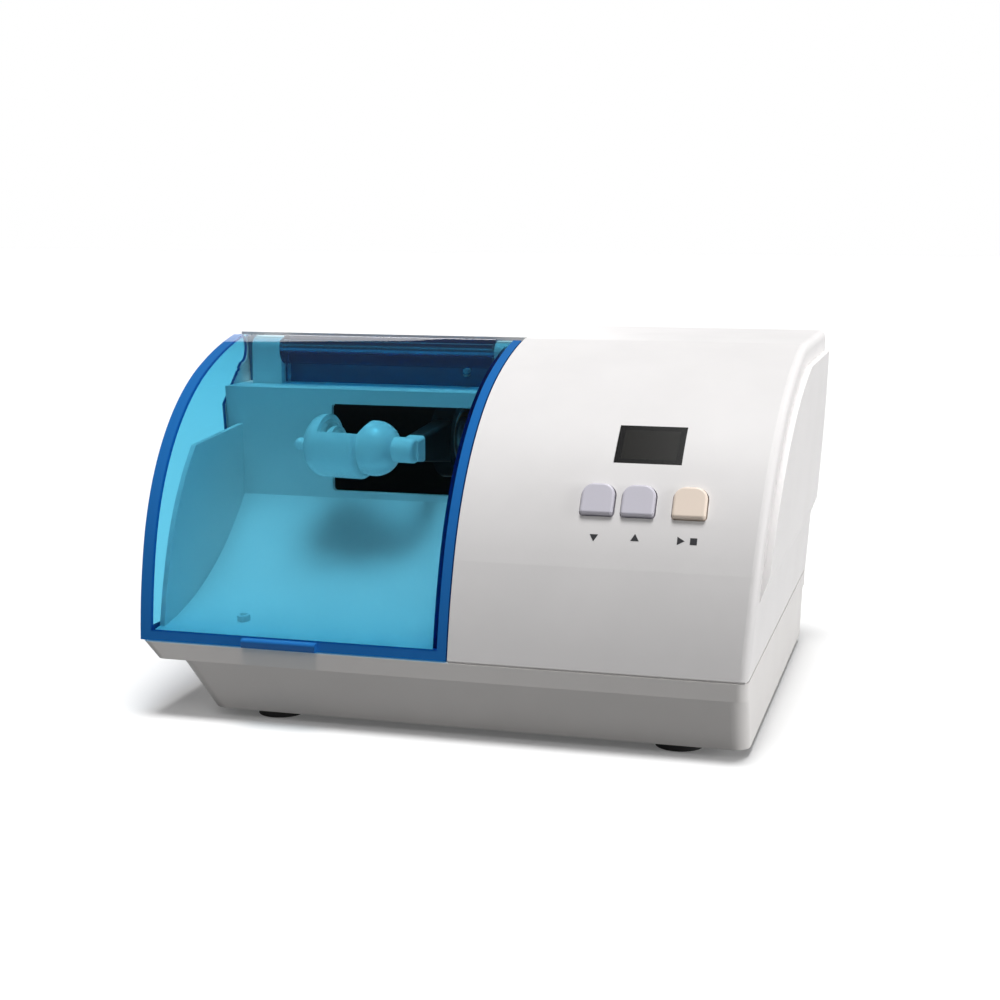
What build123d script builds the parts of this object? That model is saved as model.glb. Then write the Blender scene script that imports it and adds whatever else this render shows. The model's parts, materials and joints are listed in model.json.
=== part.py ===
from build123d import *
import os
from math import sin, cos, tan, asin, radians, degrees, pi

# Capsule mixer with a clear curved lid over the mixing chamber on the left
# and a control section on the right. Millimetres. X runs from the left end
# of the lip to the right, Y from the front of the lip to the back, Z up
# from the table. The finished pieces are moved so that the origin lies at
# the middle of the bottom of the whole device.

# Body
lip_width = 235.0
lip_top = 30.0
lip_height = 6.5
foot_height = 3.5
side_flare = 0.06
wall = 2.5
top_step = 0.65
reveal = 0.8
edge_round = 3.0
top_round = 6.0
fit_gap = 0.3
beyond = 300.0

# Front curve: three tangent arcs, angles measured from the vertical
front_angles = (9.0, 20.5, 68.0, 80.0)
front_radii = (190.0, 109.0, 190.0)

# Rear wall: a flat that leans outwards, then an arc up to the top
rear_foot_y = 205.0
rear_lean = 6.0
rear_flat = 48.0
rear_radius = 110.0

# Raised pad on the right end
pad_proud = 2.6
pad_inset = 9.0
pad_low = 56.0
pad_draft = 9.0

# Plinth below the lip, as insets from the lip's outline
lip_left_inset = 6.0
plinth_left_top = 16.0
plinth_left_bottom = 26.0
plinth_front_bottom = 7.3
plinth_rear_top = 6.0
plinth_rear_bottom = 14.0
plinth_corner = 6.0

# Lid
lid_right = 123.7
lid_wall = 2.3
lid_gap = 0.6
barrel_radius = 6.5
rod_radius = 1.5
running_clearance = 0.05
flange_left = 17.0
flange_right = 112.3
flange_height = 14.0
flange_offset = 0.5
rib_left = 118.0
rib_depth = 28.0
tab_left = 43.0
tab_width = 30.0
tab_reach = 2.5
tab_height = 3.4

# Mixing chamber
cheek_left = 3.2
cheek_wall = 2.0
cheek_inset = 10.0
cheek_top_front = 99.5
cheek_top_rear = 104.0
back_wall_y = 90.0
split_z = 112.0
floor_front_y = 3.0
floor_front_z = 33.0
floor_slope = 3.0
floor_radius = 128.0
shelf_drop = 14.65
ear_radius = 3.9
slot_left = 46.0
slot_right = 110.0
slot_low = 76.5
slot_high = 113.5

# Nutating drive
hub = (93.5, 115.5, 98.2)
sleeve_tilt = 7.5
arm_length = 46.9
shaft_radius = 2.5
shaft_left = 80.0
shaft_seat = 20.0
sleeve_radius = 6.0
sleeve_half = 6.5
bearing_half = 4.0
inner_race_radius = 8.6
outer_race_radius = 11.4
bearing_radius = 14.0
ball_radius = 2.3
ball_count = 8
ball_play = 0.05
cage_half = 3.2
cage_wall = 1.2
ring_radius = 17.5
ring_half = 4.8

# Motor on its bracket
motor_left = 111.0
motor_length = 60.0
motor_radius = 18.0
motor_boss = 6.0
bracket_sheet = 3.0
bracket_low = 34.0
bracket_right = 160.0
bracket_front = 100.0
bracket_rear = 146.0
mount_radius = 6.0
mount_height = 8.0

# Capsule clamp, along the arm's own axis; lengths run left from the hub plane
neck_radius = 4.9
neck_end = 3.4
cup_right = 6.0
cup_widest = 13.0
cup_mouth = 22.5
cup_radius = 11.3
cup_mouth_radius = 8.8
cup_cut_top = 16.2
cup_cut_low = 2.0
cup_depth = 9.5
cup_wall = 1.7
trough_right = 19.0
trough_radius = 13.0
trough_wall = 2.2
trough_rise = 33.0
trough_rise_rear = 16.0
bowl_radius = 7.75
arch_band = 4.0
rod_boss_radius = 4.4
rod_boss_proud = 1.2
plunger_radius = 1.8
jaw_mouth = 32.5
jaw_radius = 8.4
jaw_bowl = 5.1
jaw_wall = 1.5
jaw_travel = 4.8
jaw_clearance = 0.4
knob_radius = 2.6
knob_neck = 3.0
knob_gap = 1.0
trough_left = jaw_mouth + jaw_bowl + jaw_travel + jaw_clearance + trough_wall - bowl_radius
arch_right = trough_left - 0.75
knob_centre = trough_left + bowl_radius + rod_boss_proud + knob_gap + knob_neck
spring_radius = 2.7
spring_wire = 0.35

# Controls on the fascia, placed from the right end
button_insets = (59.0, 43.8, 24.9)
button_xs = [lip_width - inset for inset in button_insets]
button_names = ("less", "more", "start")
button_z = 90.0
button_width = 12.4
button_gap = 0.4
button_proud = 1.8
button_travel = 0.8
button_flange = 1.4
button_flange_gap = 0.6
board_depth = 15.5
board_sheet = 1.6
board_left = lip_width - 75.0
board_right = lip_width - 10.0
board_low = -12.0
board_high = 38.0
display_x = lip_width - 42.8
display_z = 108.9
display_width = 25.4
display_height = 18.0
lens_sheet = 1.6
lens_sink = 0.4
module_width = 28.0
module_height = 17.0
module_depth = 6.2
module_up = 24.7

# Rear panel, placed from the right end
panel_z = 54.0
panel_flange = 1.8
panel_clearance = 0.2
inlet_flange_width = 31.0
inlet_flange_height = 24.4
inlet_width = 27.2
inlet_height = 20.0
inlet_depth = 18.0
inlet_mouth_width = 24.0
inlet_mouth_height = 16.4
inlet_mouth_corner = 4.5
bezel_width = 19.0
bezel_height = 13.0
bezel_lip = 1.2
fuse_radius = 6.0
fuse_flange_radius = 7.2
fuse_depth = 26.0
fuse_bore = 4.4
inlet_x = lip_width - 35.0
rocker_x = lip_width - 70.0
fuse_x = lip_width - 95.0
cooling_z = 44.0
cooling_left = 40.0
cooling_step = 9.0
cooling_count = 8
cooling_length = 20.0
cooling_width = 3.2
rocker_throw = 11.0
rocker_pivot = -3.0
rocker_half = 7.2

# Interlock switch behind the chamber, worked by the lid's flange
switch_x = 98.0
switch_stem = 1.2
plunger_hole = switch_stem + 0.1
switch_lift = 6.5

# Springs that hold the arm's tail down to the bracket
spring_low = 44.0
tail_reach = 9.0
tail_half = 2.0

# Screws
screw_radius = 1.5
screw_head_radius = 2.8
post_radius = 4.5
screw_xs = (34.0, lip_width - 11.0)
screw_ys = (22.0, rear_foot_y - 27.0)
foot_xs = (50.0, lip_width - 27.0)
foot_ys = (20.0, rear_foot_y - 31.0)
foot_radius = 9.0

# Power board and its transformer, behind the controls
post_height = 6.0
post_left = lip_width - 53.0
post_right = lip_width - 9.0
post_front = rear_foot_y - 101.0
post_rear = rear_foot_y - 53.0
board_margin = 4.0
core_width = 40.0
core_depth = 18.0
core_height = 34.0
core_yoke = 6.5
core_window = 7.0
coil_overhang = 6.0
capacitor_radius = 4.5
capacitor_height = 12.0


def block(x0, x1, y0, y1, z0, z1):
    """A box given by its six limits."""
    return Pos((x0 + x1) / 2, (y0 + y1) / 2, (z0 + z1) / 2) * Box(x1 - x0, y1 - y0, z1 - z0)


def rod_x(radius, x0, x1, y, z):
    """A round bar along X."""
    return Pos((x0 + x1) / 2, y, z) * Rot(0, 90, 0) * Cylinder(radius, x1 - x0)


def rod_z(radius, x, y, z0, z1):
    """A round bar along Z."""
    return Pos(x, y, (z0 + z1) / 2) * Cylinder(radius, z1 - z0)


def filled(lines, plane=Plane.XY):
    """The face inside a closed outline of lines and arcs drawn on a plane."""
    return make_face([edge for line in lines for edge in (plane * line).edges()])


def prism_x(lines, x0, x1):
    """A closed outline in the Y-Z plane, extruded along X."""
    return Pos(x0, 0, 0) * extrude(filled(lines, Plane.YZ), x1 - x0, dir=(1, 0, 0))


def polygon_x(points, x0, x1):
    """A polygon in the Y-Z plane, extruded along X."""
    return prism_x([Polyline(*points, close=True)], x0, x1)


# The front curve and the faces that follow it
def front_arcs():
    """Centre, radius and angles of each arc of the front curve."""
    y, z = 0.0, lip_top
    arcs = []
    for radius, low, high in zip(front_radii, front_angles, front_angles[1:]):
        centre = (y + radius * cos(radians(low)), z - radius * sin(radians(low)))
        arcs.append((centre, radius, low, high))
        y = centre[0] - radius * cos(radians(high))
        z = centre[1] + radius * sin(radians(high))
    return arcs


arcs = front_arcs()


def front_point(angle, inset=0.0):
    """The point of the front curve whose tangent has this angle."""
    centre, radius, low, high = next((arc for arc in arcs if angle <= arc[3]), arcs[-1])
    reach = radius - inset
    return (centre[0] - reach * cos(radians(angle)), centre[1] + reach * sin(radians(angle)))


def front_angle_at(z):
    """The tangent angle of the front curve at a height on its middle arc."""
    centre, radius, low, high = arcs[1]
    return degrees(asin((z - centre[1]) / radius))


curve_end = front_point(front_angles[-1])
end_slope = 90.0 - front_angles[-1]
height = curve_end[1] + top_step
rear_knee = (
    rear_foot_y + rear_flat * sin(radians(rear_lean)),
    lip_top + rear_flat * cos(radians(rear_lean)),
)
rear_centre = (
    rear_knee[0] - rear_radius * cos(radians(rear_lean)),
    rear_knee[1] + rear_radius * sin(radians(rear_lean)),
)
hinge_y = curve_end[0] + barrel_radius * sin(radians(end_slope))
hinge_z = curve_end[1] - barrel_radius * cos(radians(end_slope))
slot_y = hinge_y + barrel_radius + lid_gap
shelf_z = hinge_z - shelf_drop


def front_curve(inset):
    """The arcs of the front curve, moved inwards."""
    edges = []
    for centre, radius, low, high in arcs:
        middle = (low + high) / 2
        reach = radius - inset
        points = [
            (centre[0] - reach * cos(radians(a)), centre[1] + reach * sin(radians(a)))
            for a in (low, middle, high)
        ]
        edges.append(ThreePointArc(*points))
    return edges


def side_profile(inset):
    """Outline of the body seen from the side, moved inwards and run on below the lip."""
    low = lip_top - 15
    start = front_point(front_angles[0], inset)
    end = front_point(front_angles[-1], inset)
    top = height - inset
    reach = rear_radius - inset
    flat_start = end[0] + (top - end[1]) / tan(radians(end_slope))
    top_angle = degrees(asin((top - rear_centre[1]) / reach))
    swing = [
        (rear_centre[0] + reach * cos(radians(a)), rear_centre[1] + reach * sin(radians(a)))
        for a in (top_angle, (top_angle - rear_lean) / 2, -rear_lean)
    ]
    foot = (swing[2][0] - (swing[2][1] - low) * tan(radians(rear_lean)), low)
    rim = [Line((start[0], low), start)] + front_curve(inset)
    rim += [Polyline(end, (flat_start, top), swing[0]), ThreePointArc(*swing)]
    rim += [Polyline(swing[2], foot, (start[0], low))]
    return rim


def end_limits(inset, low=-5.0, left=True, right=True):
    """The space between the flared ends of the body, above a height."""
    high = height + 10
    x_left = [inset - side_flare * (z - lip_top) if left else -beyond for z in (low, high)]
    x_right = [
        lip_width - inset + side_flare * (z - lip_top) if right else lip_width + beyond
        for z in (low, high)
    ]
    outline = Polyline(
        (x_left[0], low), (x_right[0], low), (x_right[1], high), (x_left[1], high), close=True
    )
    face = filled([outline], Plane.XZ)
    return Pos(0, -beyond, 0) * extrude(face, 2 * beyond, dir=(0, 1, 0))


def body_hull(inset, low):
    """The body as a solid: its side profile between its flared ends."""
    return prism_x(side_profile(inset), -beyond, lip_width + beyond) & end_limits(inset, low)


def lid_zone(gap, x1):
    """The space that belongs to the lid, in front of the split line."""
    back = 20.0
    normal = (-sin(radians(end_slope)), cos(radians(end_slope)))
    points = [
        (-back, lip_top + gap),
        (-back, height + back),
        (hinge_y + back * normal[0], hinge_z + back * normal[1]),
        (hinge_y, hinge_z),
        (hinge_y, hinge_z - barrel_radius),
        (back_wall_y - gap, split_z),
        (back_wall_y - gap, lip_top + gap),
    ]
    return polygon_x(points, -back, x1)


def chamber_zone():
    """The space cut out of the housing for the lid and the chamber."""
    back = 20.0
    x1 = lid_right + lid_gap
    points = [
        (-back, lip_top - 1),
        (-back, height + back),
        (slot_y, height + back),
        (slot_y, hinge_z),
        (hinge_y, hinge_z - barrel_radius - lid_gap),
        (back_wall_y, split_z - lid_gap),
        (back_wall_y, lip_top - 1),
    ]
    return polygon_x(points, -back, x1) + rod_x(barrel_radius + lid_gap, -back, x1, hinge_y, hinge_z)


def floor_point(angle, drop=0.0):
    """A point on the scooped floor, or below it."""
    centre_y = floor_front_y - floor_radius * sin(radians(floor_slope))
    centre_z = floor_front_z + floor_radius * cos(radians(floor_slope))
    reach = floor_radius + drop
    return (centre_y + reach * sin(radians(angle)), centre_z - reach * cos(radians(angle)))


floor_end = degrees(asin((back_wall_y - floor_point(0)[0]) / floor_radius))


def below_floor(drop, x0, x1):
    """Everything below the scooped floor, or below a surface under it."""
    first, middle, last = (
        floor_point(a, drop) for a in (floor_slope, (floor_slope + floor_end) / 2, floor_end)
    )
    edges = [
        ThreePointArc(first, middle, last),
        Polyline(last, (last[0] + 20, last[1]), (last[0] + 20, 0), (-20, 0), (-20, first[1]), first),
    ]
    return prism_x(edges, x0, x1)


def surface_plane(x, z):
    """A plane on the fascia at a height, with its Z outwards and its Y up the slope."""
    angle = front_angle_at(z)
    y, z = front_point(angle)
    return Plane(
        origin=(x, y, z), x_dir=(1, 0, 0), z_dir=(0, -cos(radians(angle)), sin(radians(angle)))
    )


def rear_plane(x):
    """A plane on the flat of the rear wall, with its Z outwards and its Y up."""
    lean = radians(rear_lean)
    y = rear_foot_y + (panel_z - lip_top) * tan(lean)
    return Plane(origin=(x, y, panel_z), x_dir=(-1, 0, 0), z_dir=(0, cos(lean), -sin(lean)))


def button_outline(grow):
    """Square key with two large upper corners and two small lower ones."""
    side = button_width + 2 * grow
    face = Rectangle(side, side)
    top = face.vertices().sort_by(Axis.Y)[2:]
    low = face.vertices().sort_by(Axis.Y)[:2]
    face = fillet(top, 4.6 + grow)
    low = face.vertices().sort_by(Axis.Y)[:2]
    return fillet(low, 1.2 + grow)


def surface_drop(up):
    """How far the fascia has fallen away at a distance up or down the button plane."""
    return up * up / (2 * front_radii[1])


board_posts = [(x, y) for x in (board_left + 4, board_right - 4) for y in (board_low + 4, board_high - 4)]


def end_x(z):
    """X of the right end at a height."""
    return lip_width + side_flare * (z - lip_top)


def end_pad():
    """Raised pad on the right end, with a long draft along its lower edge."""
    full = pad_low + pad_draft
    outline = Polyline(
        (lip_width - 2, pad_low), (end_x(pad_low), pad_low), (end_x(full) + pad_proud, full),
        (end_x(height) + pad_proud, height), (lip_width - 2, height), close=True,
    )
    swell = Pos(0, -beyond, 0) * extrude(filled([outline], Plane.XZ), 2 * beyond, dir=(0, 1, 0))
    return prism_x(side_profile(pad_inset), lip_width - 2, lip_width + beyond) & swell


def make_upper_housing():
    outer = body_hull(0, lip_top)
    ridge = [e for e in outer.edges().filter_by(Axis.X) if e.center().Z > height - 1]
    outer = fillet(sorted(ridge, key=lambda e: e.center().Y)[-1], top_round)
    right_edges = outer.faces().sort_by(Axis.X)[-1].edges()
    rounded = [e for e in right_edges if e.center().Z > lip_top + 1]
    outer = fillet(rounded, edge_round) + end_pad()
    shell = outer - body_hull(wall, lip_top - 1)
    rim = block(-beyond, lip_width + beyond, -beyond, beyond, lip_top - 1, lip_top + reveal)
    shell -= rim - body_hull(reveal, lip_top - 1)
    shell -= chamber_zone()

    # Bulkhead that closes the control section beside the chamber
    x0 = lid_right + lid_gap
    low_part = block(x0, x0 + wall, -5, back_wall_y + 5, lip_top, shelf_z - wall)
    high_part = block(x0, x0 + wall, -5, slot_y + wall, shelf_z - wall, height + 5)
    bulkhead = (low_part + high_part) & body_hull(wall / 2, lip_top)
    shell += bulkhead

    # Openings on the fascia
    for x in button_xs:
        plane = surface_plane(x, button_z)
        shell -= plane * (Pos(0, 0, -wall - 2) * extrude(button_outline(button_gap), wall + 6))
    lens = surface_plane(display_x, display_z)
    opening = Box(display_width - 2, display_height - 2, 4 * wall)
    rebate = Pos(0, 0, 2 - lens_sheet - lens_sink) * Box(display_width + 0.2, display_height + 0.2, 4)
    shell -= lens * (opening + rebate)

    # Posts for the control board, down from the inside of the fascia
    board = surface_plane(0, button_z)
    for x, y in board_posts:
        top = -surface_drop(y) - wall / 2
        post = Pos(x, y, (top - board_depth) / 2) * Cylinder(3, top + board_depth)
        hole = Pos(x, y, -board_depth + 3) * Cylinder(1.2, 7)
        shell += board * (post - hole)

    # Bosses for the screws that come up from the base
    for x, y in ((screw_xs[1], screw_ys[0]), (screw_xs[1], screw_ys[1]), (screw_xs[0], screw_ys[1])):
        edge = lip_width - wall / 2 if x > lip_width / 2 else wall / 2
        boss = rod_z(post_radius, x, y, lip_top + 1, lip_top + 16)
        web = block(min(x, edge), max(x, edge), y - 1, y + 1, lip_top + 6, lip_top + 16)
        shell += (boss + web) & body_hull(wall / 2, lip_top)
        shell -= rod_z(screw_radius, x, y, lip_top, lip_top + 9)

    # Openings in the flat of the rear wall
    around = 2 * panel_clearance
    shell -= rear_plane(inlet_x) * Box(inlet_width + around, inlet_height + around, 4 * wall)
    shell -= rear_plane(rocker_x) * Box(bezel_width + around, bezel_height + around, 4 * wall)
    shell -= rear_plane(fuse_x) * Cylinder(fuse_radius + panel_clearance, 4 * wall)

    # Cooling slots low in the rear wall, to the left
    for step in range(cooling_count):
        place = rear_plane(cooling_left + cooling_step * step) * Pos(0, cooling_z - panel_z, 0)
        shell -= place * upright_slot(cooling_length, cooling_width, 4 * wall)
    return shell


def upright_slot(length, width, depth):
    """A round-ended slot through a wall, standing upright."""
    return Pos(0, 0, -depth / 2) * extrude(Rot(0, 0, 90) * SlotOverall(length, width), depth)


def outline(x0, x1, y0, y1, z, corner):
    """A rounded rectangle at a height."""
    return Pos((x0 + x1) / 2, (y0 + y1) / 2, z) * RectangleRounded(x1 - x0, y1 - y0, corner)


def plinth(inset, low, high):
    """The tapered plinth, moved inwards."""
    top = outline(
        plinth_left_top + inset, lip_width - inset, inset,
        rear_foot_y - plinth_rear_top - inset, high, plinth_corner,
    )
    bottom = outline(
        plinth_left_bottom + inset, lip_width - inset, plinth_front_bottom + inset,
        rear_foot_y - plinth_rear_bottom - inset, low, plinth_corner,
    )
    return loft([bottom, top])


def make_base_tray():
    lip_low = lip_top - lip_height
    lip_rear = rear_foot_y
    band = loft([
        outline(lip_left_inset, lip_width, 0, lip_rear - lip_height * tan(radians(rear_lean)), lip_low, 4),
        outline(0, lip_width, 0, lip_rear, lip_top, 4),
    ])
    tray = band + plinth(0, foot_height, lip_low)
    tray -= plinth(wall, foot_height + wall, lip_low) + outline_block(
        plinth_left_top + wall, lip_width - wall, wall, rear_foot_y - plinth_rear_top - wall,
        lip_low, lip_top + 1, plinth_corner,
    )
    floor_top = foot_height + wall
    post_top = floor_top + post_height

    # Posts for the four housing screws
    for x in screw_xs:
        for y in screw_ys:
            tray += rod_z(post_radius, x, y, floor_top - 1, lip_top + 1)
            tray -= rod_z(screw_radius + 0.2, x, y, foot_height - 1, lip_top + 2)
            tray -= rod_z(screw_head_radius + 0.3, x, y, foot_height - 1, foot_height + 8)

    # Posts for the motor mounts and for the power board
    for x, y in mount_points():
        tray += rod_z(mount_radius, x, y, floor_top - 1, bracket_low - mount_height)
        tray -= rod_z(screw_radius, x, y, floor_top + 4, bracket_low)
    for x, y in power_posts():
        tray += rod_z(3, x, y, floor_top - 1, post_top)

    # Recesses for the feet and slots for cooling air
    for x in foot_xs:
        for y in foot_ys:
            tray -= rod_z(foot_radius + 0.2, x, y, foot_height - 1, foot_height + 1)
    for step in range(7):
        tray -= block(72, 118, 60 + 9 * step, 64 + 9 * step, 0, floor_top + 1)
    return tray


def outline_block(x0, x1, y0, y1, z0, z1, corner):
    """An upright block with rounded corners."""
    return extrude(outline(x0, x1, y0, y1, z0, corner), z1 - z0)


def mount_points():
    """Where the four rubber mounts of the motor bracket stand."""
    ys = (bracket_front + 8, bracket_rear - 9)
    return [(x, y) for x in (motor_left + 8, bracket_right - 9) for y in ys]


def power_posts():
    """Where the four posts of the power board stand."""
    return [(x, y) for x in (post_left, post_right) for y in (post_front, post_rear)]


def make_rubber_feet():
    return [rod_z(foot_radius, x, y, 0, foot_height + 1) for x in foot_xs for y in foot_ys]


def make_housing_screws():
    screws = []
    for x in screw_xs:
        for y in screw_ys:
            head = rod_z(screw_head_radius, x, y, foot_height + 5.6, foot_height + 8)
            shank = rod_z(screw_radius, x, y, foot_height + 8, lip_top + 8)
            recess = Pos(x, y, foot_height + 5.8) * extrude(RegularPolygon(1.4, 6), 1)
            screws.append(head + shank - recess)
    return screws


def make_mixing_chamber():
    right = lid_right + lid_gap - fit_gap
    left_room = end_limits(wall + fit_gap, right=False)
    scoop = block(cheek_left, right, floor_front_y, back_wall_y + 1, lip_top, 90)
    floor = (scoop & below_floor(0, -20, 150)) - below_floor(wall, -20, 150)
    rear = block(-15, right, back_wall_y, back_wall_y + wall, lip_top + fit_gap, shelf_z)
    shelf = block(-15, right, back_wall_y, slot_y + wall, shelf_z - wall, shelf_z)
    upstand = block(-15, right, slot_y, slot_y + wall, shelf_z - 1, height - wall - fit_gap)
    liner = floor + ((rear + shelf + upstand) & left_room)

    # Left cheek, set back from the lid, with a top edge that rises to the rear
    cheek = prism_x(side_profile(cheek_inset), cheek_left, cheek_left + cheek_wall)
    top_line = [
        (0, cheek_top_front - 0.5 * (cheek_top_rear - cheek_top_front)),
        (back_wall_y + 1, cheek_top_rear),
        (back_wall_y + 1, 0),
        (0, 0),
    ]
    cheek &= polygon_x(top_line, cheek_left, cheek_left + cheek_wall)
    liner += cheek - below_floor(wall, -20, 150)

    # Ears that carry the hinge rod
    for x0, x1 in ((cheek_left, flange_left - fit_gap), (flange_right + fit_gap, right)):
        ear = rod_x(ear_radius, x0, x1, hinge_y, hinge_z)
        ear += block(x0, x1, hinge_y - ear_radius, slot_y + 1, shelf_z - 1, hinge_z)
        liner += ear
    liner -= rod_x(rod_radius, cheek_left + 2, right - 1, hinge_y, hinge_z)

    # Slot that the arm comes through
    slot = Pos((slot_left + slot_right) / 2, back_wall_y - 5, (slot_low + slot_high) / 2)
    opening = RectangleRounded(slot_right - slot_left, slot_high - slot_low, 1.5)
    liner -= slot * extrude(Plane.XZ * opening, 12, dir=(0, 1, 0))

    # Hole for the plunger of the lid switch, and a boss for the front screw
    liner -= switch_plane() * Cylinder(plunger_hole, 20)
    x, y = screw_xs[0], screw_ys[0]
    boss = rod_z(post_radius, x, y, lip_top + 1, lip_top + 9) & below_floor(wall / 2, -20, 150)
    liner += boss
    liner -= rod_z(screw_radius, x, y, lip_top, lip_top + 8)
    return liner


def switch_plane():
    """Axis of the interlock plunger, pointing to the front."""
    return Plane(origin=(switch_x, slot_y, shelf_z + switch_lift), x_dir=(1, 0, 0), z_dir=(0, -1, 0))


def make_lid_switch():
    body = Pos(0, 0, -wall - 4.5) * Box(20, 10, 9)
    body -= Pos(0, 0, -wall) * Cylinder(switch_stem + running_clearance, 12)
    for x in (-4.8, 4.8):
        body += Pos(x, 0, -wall - 10.5) * Box(0.6, 3, 3)
    return switch_plane() * body


def make_lid_switch_plunger():
    tip = slot_y - (hinge_y + flange_offset + lid_wall) - fit_gap
    stem = Pos(0, 0, (tip - wall - 5) / 2) * Cylinder(switch_stem, tip + wall + 5)
    stem = fillet(stem.faces().sort_by(Axis.Z)[-1].edges(), 0.4)
    return switch_plane() * stem


def make_hinge_rod():
    return rod_x(rod_radius, cheek_left + 2, lid_right + lid_gap - fit_gap - 1, hinge_y, hinge_z)


def make_lid():
    space = lid_zone(lid_gap, lid_right)
    blank = body_hull(0, lip_top) & space
    hollow = prism_x(side_profile(lid_wall), -beyond, beyond)
    hollow &= end_limits(lid_wall, right=False)
    skin = blank - hollow

    # Disc of the left end wall round the hinge, in the plane of that wall
    disc = rod_x(barrel_radius, -20, 20, hinge_y, hinge_z)
    skin += disc & (end_limits(0, right=False) - end_limits(lid_wall, right=False))

    # Barrel and flange between the ears
    barrel = rod_x(barrel_radius, flange_left, flange_right, hinge_y, hinge_z)
    y0 = hinge_y + flange_offset
    barrel += block(flange_left, flange_right, y0, y0 + lid_wall, hinge_z - flange_height, hinge_z)
    skin += barrel
    skin -= rod_x(rod_radius + running_clearance, flange_left - 1, flange_right + 1, hinge_y, hinge_z)

    # Rib beside the right edge, deep at the front and clear of the floor and the ear
    rib = prism_x(side_profile(lid_wall / 2), rib_left, rib_left + lid_wall)
    rib -= prism_x(side_profile(rib_depth), rib_left - 1, rib_left + lid_wall + 1)
    rib &= block(0, beyond, 0, hinge_y - barrel_radius, lip_top + lid_gap, beyond)
    rib -= block(0, beyond, back_wall_y - lid_gap, beyond, 0, shelf_z + lid_gap)
    skin += rib - below_floor(-1.0, -20, 150)

    # Thumb tab on the lower edge
    tab = block(
        tab_left, tab_left + tab_width, -tab_reach, lid_wall,
        lip_top + lid_gap, lip_top + lid_gap + tab_height,
    )
    tab = fillet(tab.faces().sort_by(Axis.Y)[0].edges().filter_by(Axis.X), 1.0)
    return skin + tab


def arm_frame():
    """The frame of the tilted sleeve: X along the sleeve, front is -Y."""
    return Location(hub, (0, 0, -sleeve_tilt))


def clamp_frame_place():
    """The axis of the clamp in the arm's frame."""
    return arm_frame() * Pos(0, -arm_length, 0)


def make_mixing_arm():
    ring = rod_x(ring_radius, -ring_half, ring_half, 0, 0)
    beam_front = -arm_length
    sections = [
        Plane(origin=(0, y, 0), x_dir=(1, 0, 0), z_dir=(0, -1, 0)) * RectangleRounded(w, h, 1.5)
        for y, w, h in ((-bearing_radius, 9.0, 18.0), (beam_front, 8.0, 9.0))
    ]
    beam = loft(sections)
    boss = rod_x(neck_radius + 0.3, -cup_right, neck_end, beam_front, 0)
    boss = fillet(boss.faces().sort_by(Axis.X)[-1].edges(), 1.5)
    tail = block(-8.5, 8.5, bearing_radius + 1, ring_radius + tail_reach, -tail_half, tail_half)
    arm = ring + beam + boss + tail
    arm -= rod_x(bearing_radius, -bearing_half, ring_half + 1, 0, 0)
    arm -= rod_x(bearing_radius - 1.5, -ring_half - 1, ring_half, 0, 0)
    for x in (-5.5, 5.5):
        arm -= rod_z(1.0, x, ring_radius + tail_reach - 3, -3, 3)
    return arm_frame() * arm


def race(inner, outer):
    """A bearing ring with its ball groove."""
    ring = rod_x(outer, -bearing_half, bearing_half, 0, 0) - rod_x(inner, -10, 10, 0, 0)
    pitch = (inner_race_radius + outer_race_radius) / 2
    return ring - Rot(0, 90, 0) * Torus(pitch, ball_radius + ball_play)


def ball_places():
    """Centres of the balls round the sleeve."""
    pitch = (inner_race_radius + outer_race_radius) / 2
    steps = [2 * pi * i / ball_count for i in range(ball_count)]
    return [Pos(0, pitch * cos(a), pitch * sin(a)) for a in steps]


def make_bearing():
    inner = race(sleeve_radius, inner_race_radius)
    outer = race(outer_race_radius, bearing_radius)
    balls = [place * Sphere(ball_radius) for place in ball_places()]
    pitch = (inner_race_radius + outer_race_radius) / 2
    cage = rod_x(pitch + cage_wall / 2, -cage_half, cage_half, 0, 0)
    cage -= rod_x(pitch - cage_wall / 2, -bearing_half, bearing_half, 0, 0)
    for place in ball_places():
        cage -= place * Sphere(ball_radius + ball_play)
    frame = arm_frame()
    return frame * inner, frame * outer, [frame * ball for ball in balls], frame * cage


def make_inclined_sleeve():
    body = rod_x(sleeve_radius, -sleeve_half, sleeve_half, 0, 0)
    body += rod_x(sleeve_radius + 1.6, bearing_half, bearing_half + 1.6, 0, 0)
    weight = rod_x(12.0, sleeve_half - 0.5, sleeve_half + 3.0, 0, 0) - block(-20, 20, -20, 0, -20, 20)
    body = arm_frame() * (body + weight)
    return body - rod_x(shaft_radius, 60, 130, hub[1], hub[2])


def make_motor_shaft():
    return rod_x(shaft_radius, shaft_left, motor_left + shaft_seat, hub[1], hub[2])


def make_shaft_nut():
    nut = extrude(Plane.YZ * RegularPolygon(4.2, 6), 3.2, dir=(1, 0, 0))
    nut = Pos(shaft_left + 1.2, hub[1], hub[2]) * nut
    return nut - rod_x(shaft_radius, 60, 130, hub[1], hub[2])


def make_motor():
    y, z = hub[1], hub[2]
    can = rod_x(motor_radius, motor_left, motor_left + motor_length, y, z)
    ends = can.edges().filter_by(GeomType.CIRCLE)
    can = fillet(ends, 1.5)
    can += rod_x(motor_boss, motor_left - bracket_sheet, motor_left, y, z)
    can += rod_x(8, motor_left + motor_length, motor_left + motor_length + 4, y, z)
    can -= rod_x(shaft_radius + running_clearance, motor_left - 10, motor_left + shaft_seat + 1, y, z)
    for side in (-12, 12):
        can += block(
            motor_left + motor_length - 1, motor_left + motor_length + 6,
            y + side - 0.4, y + side + 0.4, z - 2.5, z + 2.5,
        )
    for angle in (0, 120, 240):
        slot = block(motor_left + motor_length - 12, motor_left + motor_length - 5, -2.5, 2.5, 15, 22)
        can -= Pos(0, y, z) * Rot(angle, 0, 0) * slot
    return can


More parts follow.
